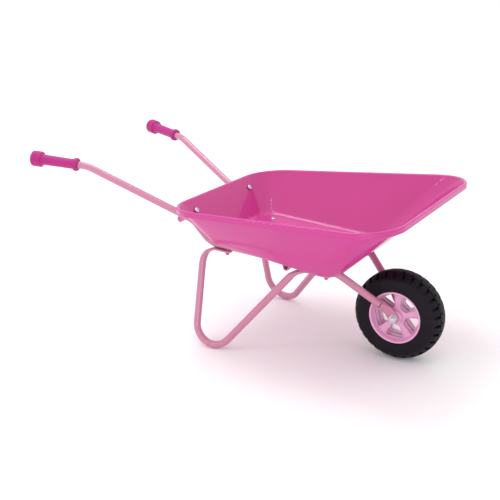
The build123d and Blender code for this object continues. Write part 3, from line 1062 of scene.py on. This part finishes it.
@dataclass
class WheelHalf:
    """One moulded half of the wheel: flanged barrel, dished face and five deep windows."""

    windows: int = 5
    first_window: float = -21.0
    inner: float = 0.0172
    outer: float = 0.0412
    inner_half: float = 0.0066
    outer_half: float = 0.0198
    corner: float = 0.0046
    lip: float = 0.0016
    face: float = 0.0135
    back: float = 0.0015
    barrel: tuple[tuple[float, float], ...] = (
        (0.0466, 0.0006),
        (0.0466, 0.0044),
        (0.0496, 0.0048),
        (0.0498, 0.0246),
        (0.0496, 0.0254),
        (0.0489, 0.0258),
        (0.0474, 0.0258),
        (0.0466, 0.0254),
        (0.0461, 0.0246),
        (0.0454, 0.0200),
        (0.0446, 0.0160),
        (0.0436, 0.0143),
        (0.0424, 0.0136),
        (0.0400, 0.0135),
        (0.0300, 0.0136),
        (0.0200, 0.0139),
        (0.0152, 0.0144),
        (0.0138, 0.0155),
        (0.0130, 0.0175),
        (0.0124, 0.0225),
        (0.0118, 0.0238),
        (0.0108, 0.0242),
        (0.0066, 0.0242),
        (0.0062, 0.0238),
        (0.0062, 0.0006),
        (0.0100, 0.0006),
        (0.0118, 0.0012),
        (0.0128, 0.0104),
        (0.0160, 0.0112),
        (0.0300, 0.0112),
        (0.0410, 0.0112),
        (0.0428, 0.0104),
        (0.0436, 0.0030),
        (0.0440, 0.0010),
    )

    def build(self) -> None:
        """Model one half, mirror it for the other, and put both in place of their nodes."""
        body = Bench.lathe("wheel_barrel", self.barrel, 120, closed=True)
        cutters = Bench.join(
            [self._window(k, 0.0, -0.004, 0.022) for k in range(self.windows)], "window_cutters"
        )
        frames = Bench.join(
            [self._window(k, self.lip, self.back, self.face + 0.0014) for k in range(self.windows)],
            "window_frames",
        )
        for piece in (body, frames):
            Bench.apply(piece, "BOOLEAN", operation="DIFFERENCE", object=cutters, solver="EXACT")
        bpy.data.objects.remove(cutters)
        Bench.apply(
            frames, "BEVEL", width=0.0005, segments=2, limit_method="ANGLE", angle_limit=math.radians(50)
        )
        half = Bench.join([body, frames], "spoked_half_left")
        right = Bench.copy(half, "spoked_half_right")
        Bench.aim(half, AXLE, Vector((0, 1, 0)))
        right.scale = (1, 1, -1)
        Bench.settle(right)
        Bench.edit(right)
        bpy.ops.mesh.select_all(action="SELECT")
        bpy.ops.mesh.normals_make_consistent(inside=False)
        Bench.done()
        Bench.aim(right, AXLE, Vector((0, 1, 0)))
        for piece, side in ((half, Side.LEFT), (right, Side.RIGHT)):
            Bench.smooth(piece, 34)
            Bench.dress(piece, WHEEL_PLASTIC)
            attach(piece, "wheel")
            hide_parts(f"wheel_half_{side.label}")
            LOG.info("wheel half %s: %d faces", side.label, len(piece.data.polygons))

    def _window(self, index: int, grow: float, low: float, high: float) -> bpy.types.Object:
        """Make the solid of one window.

        Args:
            index: Which window.
            grow: How far its sides move out.
            low: Its lower height along the axle.
            high: Its upper height along the axle.

        Returns:
            The solid.
        """
        length = self.outer - self.inner
        slope = (self.outer_half - self.inner_half) / length
        stretch = math.hypot(1.0, slope)
        Bench.clear()
        bpy.ops.mesh.primitive_plane_add(size=1, location=(0, 0, 0))
        piece = bpy.context.object
        Bench.edit(piece)
        bpy.ops.mesh.select_all(action="SELECT")
        bpy.ops.transform.resize(value=(length + 2 * grow, 1, 1), center_override=(0, 0, 0))
        bpy.ops.transform.translate(value=((self.inner + self.outer) / 2, 0, low))
        middle = (self.inner + self.outer) / 2
        inner_half = self.inner_half + grow * (stretch - slope)
        outer_half = self.outer_half + grow * (stretch + slope)
        for half, at_outer in ((inner_half, False), (outer_half, True)):
            Bench.pick(piece, lambda v: (v.co.x > middle) == at_outer)
            bpy.ops.transform.resize(value=(1, 2 * half, 1), center_override=(0, 0, 0))
        lean = math.degrees(math.atan(slope))
        for turn, at_outer, radius in (
            (90 - lean, False, min(self.corner + grow, inner_half * 0.8)),
            (90 + lean, True, self.corner + grow),
        ):
            Bench.pick(piece, lambda v: (v.co.x > middle) == at_outer)
            bpy.ops.mesh.bevel(
                offset_type="OFFSET",
                offset=radius * math.tan(math.radians(turn) / 2),
                segments=8,
                profile=0.5,
                affect="VERTICES",
            )
        bpy.ops.mesh.select_all(action="SELECT")
        bpy.ops.mesh.extrude_region_move(TRANSFORM_OT_translate={"value": (0, 0, high - low)})
        Bench.done()
        turn = math.radians(-self.first_window + 360 / self.windows * index)
        piece.rotation_euler = (0, 0, turn + self._turn())
        Bench.settle(piece)
        Bench.outward(piece)
        return piece

    @staticmethod
    def _turn() -> float:
        """Turn between the lathe's own X axis and the row's, once the axis points left.

        Returns:
            The turn in radians.
        """
        quat = Vector((0, 1, 0)).to_track_quat("Z", "Y")
        along = quat @ Vector((1, 0, 0))
        return math.atan2(along.z, along.x)


@dataclass
class AxleHardware:
    """Nut, bolt and washers at the axle, in zinc."""

    flats: float = 0.013
    face: float = 0.0289
    nut_height: float = 0.0065
    nut_bore: float = 0.0041
    head_height: float = 0.0053
    thread_turns: int = 9
    thread_pitch: float = 0.00125

    def build(self) -> None:
        """Dress the plain nodes and add the detailed nut and bolt end."""
        for name in ("axle_sleeve", "axle_washers"):
            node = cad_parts[name]
            node.data.materials.clear()
            node.data.materials.append(Palette.get(ZINC))
        nut = self._hexagon("plated_axle_nut", self.nut_height, self.nut_bore)
        Bench.aim(nut, AXLE + Vector((0, -self.face, 0)), Vector((0, -1, 0)))
        self._place(nut, "axle_nut")
        head = self._hexagon("plated_axle_bolt", self.head_height, 0.0)
        shank = self._threaded_shank()
        Bench.aim(head, AXLE + Vector((0, self.face, 0)), Vector((0, 1, 0)))
        Bench.aim(shank, AXLE + Vector((0, self.face + 0.001, 0)), Vector((0, -1, 0)))
        self._place(Bench.join([head, shank], "plated_axle_bolt"), "axle_bolt")

    @staticmethod
    def _place(piece: bpy.types.Object, node: str) -> None:
        """Smooth, dress and seat a piece.

        Args:
            piece: The piece.
            node: Name of the plain node that it stands in for.
        """
        Bench.smooth(piece, 30)
        Bench.dress(piece, ZINC)
        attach(piece, "frame")
        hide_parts(node)
        LOG.info("%s: %d faces", piece.name, len(piece.data.polygons))

    def _hexagon(self, name: str, height: float, bore: float) -> bpy.types.Object:
        """Make a chamfered hexagon.

        Args:
            name: The piece's name.
            height: Its height.
            bore: Radius of its hole, or 0 for a plain head.

        Returns:
            The piece, standing on the XY plane.
        """
        Bench.clear()
        corner = self.flats / math.sqrt(3)
        bpy.ops.mesh.primitive_cylinder_add(
            vertices=6, radius=corner, depth=height, location=(0, 0, height / 2)
        )
        piece = bpy.context.object
        piece.name = name
        Bench.settle(piece)
        wide, narrow = corner * 1.04, corner * 0.86
        cone = Bench.lathe(
            "chamfer", ((wide, -0.001), (wide, height * 0.82), (narrow, height * 1.001)), 48
        )
        Bench.apply(piece, "BOOLEAN", operation="INTERSECT", object=cone, solver="EXACT")
        bpy.data.objects.remove(cone)
        if bore:
            drill = Bench.lathe(
                "drill", ((bore, -0.002), (bore, height - 0.0006), (bore * 1.25, height + 0.001)), 40
            )
            Bench.apply(piece, "BOOLEAN", operation="DIFFERENCE", object=drill, solver="EXACT")
            bpy.data.objects.remove(drill)
        Bench.apply(
            piece, "BEVEL", width=0.00025, segments=2, limit_method="ANGLE", angle_limit=math.radians(28)
        )
        return piece

    def _threaded_shank(self) -> bpy.types.Object:
        """Make the shank, with turns of thread near its end.

        Returns:
            The shank, with its axis along Z.
        """
        length = self.face * 2 + 0.0085 + 0.001
        profile: list[tuple[float, float]] = [(0.0030, 0.0), (0.0040, 0.0001), (0.0040, length - 0.012)]
        for turn in range(self.thread_turns):
            base = length - 0.0115 + turn * self.thread_pitch
            profile += [(0.0039, base), (0.0034, base + 0.0006)]
        profile += [(0.0036, length - 0.0004), (0.0030, length), (0.0012, length + 0.0001)]
        return Bench.lathe("shank", profile, 40)


@dataclass
class TrayFasteners:
    """Bolts, washers, nuts and caps that hold tray, tubes and legs together."""

    zinc: tuple[str, ...] = ("floor_bolts", "floor_washers", "rear_bolts", "rear_nuts")
    caps: tuple[str, ...] = ("rear_nut_caps", "floor_nuts")

    def build(self) -> None:
        """Dress the nodes."""
        for names, finish in ((self.zinc, ZINC), (self.caps, CAP_PLASTIC)):
            for name in names:
                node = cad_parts[name]
                node.data.materials.clear()
                node.data.materials.append(Palette.get(finish))
        LOG.info("fasteners: %d nodes dressed", len(self.zinc) + len(self.caps))


# ------------------------------------------------------------------ studio


@dataclass
class Studio:
    """Pale sweep, soft lights and the camera."""

    camera_at: Vector = field(default_factory=lambda: Vector((0.85529, -1.4093, 0.7203)))
    azimuth: float = 31.5
    elevation: float = 18.8
    roll: float = -0.8
    lens: float = 62.73
    shift: tuple[float, float] = (-0.0012, -0.0020)
    floor_level: float = -0.0004
    floor_size: float = 30.0
    surround: float = 1.05
    lit_point: Vector = field(default_factory=lambda: Vector((0.0, 0.0, 0.15)))

    def build(self) -> None:
        """Make floor, lights and camera."""
        self._floor()
        self._lights()
        self._camera()
        LOG.info("studio ready")

    def _floor(self) -> None:
        """A wide pale floor, with a faint grain."""
        Bench.clear()
        bpy.ops.mesh.primitive_plane_add(size=self.floor_size, location=(0, 0, self.floor_level))
        floor = bpy.context.object
        floor.name = "studio_floor"
        mix = Recipe("studio_paper")
        cloud = mix.noise(1.5, 2.0)
        floor.data.materials.append(
            mix.finish(
                Base_Color=mix.blend(cloud * 0.5, (0.99, 0.99, 0.99), (0.96, 0.96, 0.96)),
                Roughness=0.9,
                Specular_IOR_Level=0.1,
            )
        )

    def _lights(self) -> None:
        """A white surround, a soft key overhead, a low front fill and two narrow strips."""
        world = bpy.data.worlds.new("studio_world")
        bpy.context.scene.world = world
        world.use_nodes = True
        background = world.node_tree.nodes["Background"]
        background.inputs["Color"].default_value = (1.0, 1.0, 1.0, 1.0)
        background.inputs["Strength"].default_value = self.surround
        for name, place, size, power in (
            ("key", (-0.5, 0.3, 2.1), (0.9, 0.54), 9.0),
            ("fill", (1.3, -2.2, 0.30), (1.4, 0.84), 7.0),
            ("strip", (-0.1, -0.3, 2.0), (2.2, 0.03), 3.6),
            ("side_strip", (-1.1, -1.3, 1.2), (0.05, 0.9), 2.0),
        ):
            data = bpy.data.lights.new(name, "AREA")
            data.shape = "RECTANGLE"
            data.size, data.size_y = size
            data.energy = power
            lamp = bpy.data.objects.new(name, data)
            bpy.context.scene.collection.objects.link(lamp)
            lamp.location = place
            heading = self.lit_point - Vector(place)
            lamp.rotation_euler = heading.to_track_quat("-Z", "Y").to_euler()

    def _camera(self) -> None:
        """The camera, at its fixed place."""
        data = bpy.data.cameras.new("camera")
        data.lens = self.lens
        data.sensor_width = 36.0
        data.clip_end = 50.0
        data.shift_x, data.shift_y = self.shift
        camera = bpy.data.objects.new("camera", data)
        bpy.context.scene.collection.objects.link(camera)
        turn, rise = math.radians(self.azimuth), math.radians(self.elevation)
        back = Vector((math.sin(turn) * math.cos(rise), -math.cos(turn) * math.cos(rise), math.sin(rise)))
        spin = Matrix.Rotation(math.radians(self.roll), 4, "Z")
        look = (-back).to_track_quat("-Z", "Y").to_matrix().to_4x4()
        camera.matrix_world = Matrix.Translation(self.camera_at) @ look @ spin
        bpy.context.scene.camera = camera
        bpy.context.scene.view_settings.view_transform = "Standard"


def main() -> None:
    """Build every sub-assembly in order."""
    logging.basicConfig(level=logging.INFO, format="%(name)s: %(message)s")
    Studio().build()
    Tray().build()
    TubeWork().build()
    for side in Side:
        Grip(side).build()
    Tyre().build()
    WheelHalf().build()
    AxleHardware().build()
    TrayFasteners().build()
    Bench.clear()


if __name__ == "__main__":
    main()
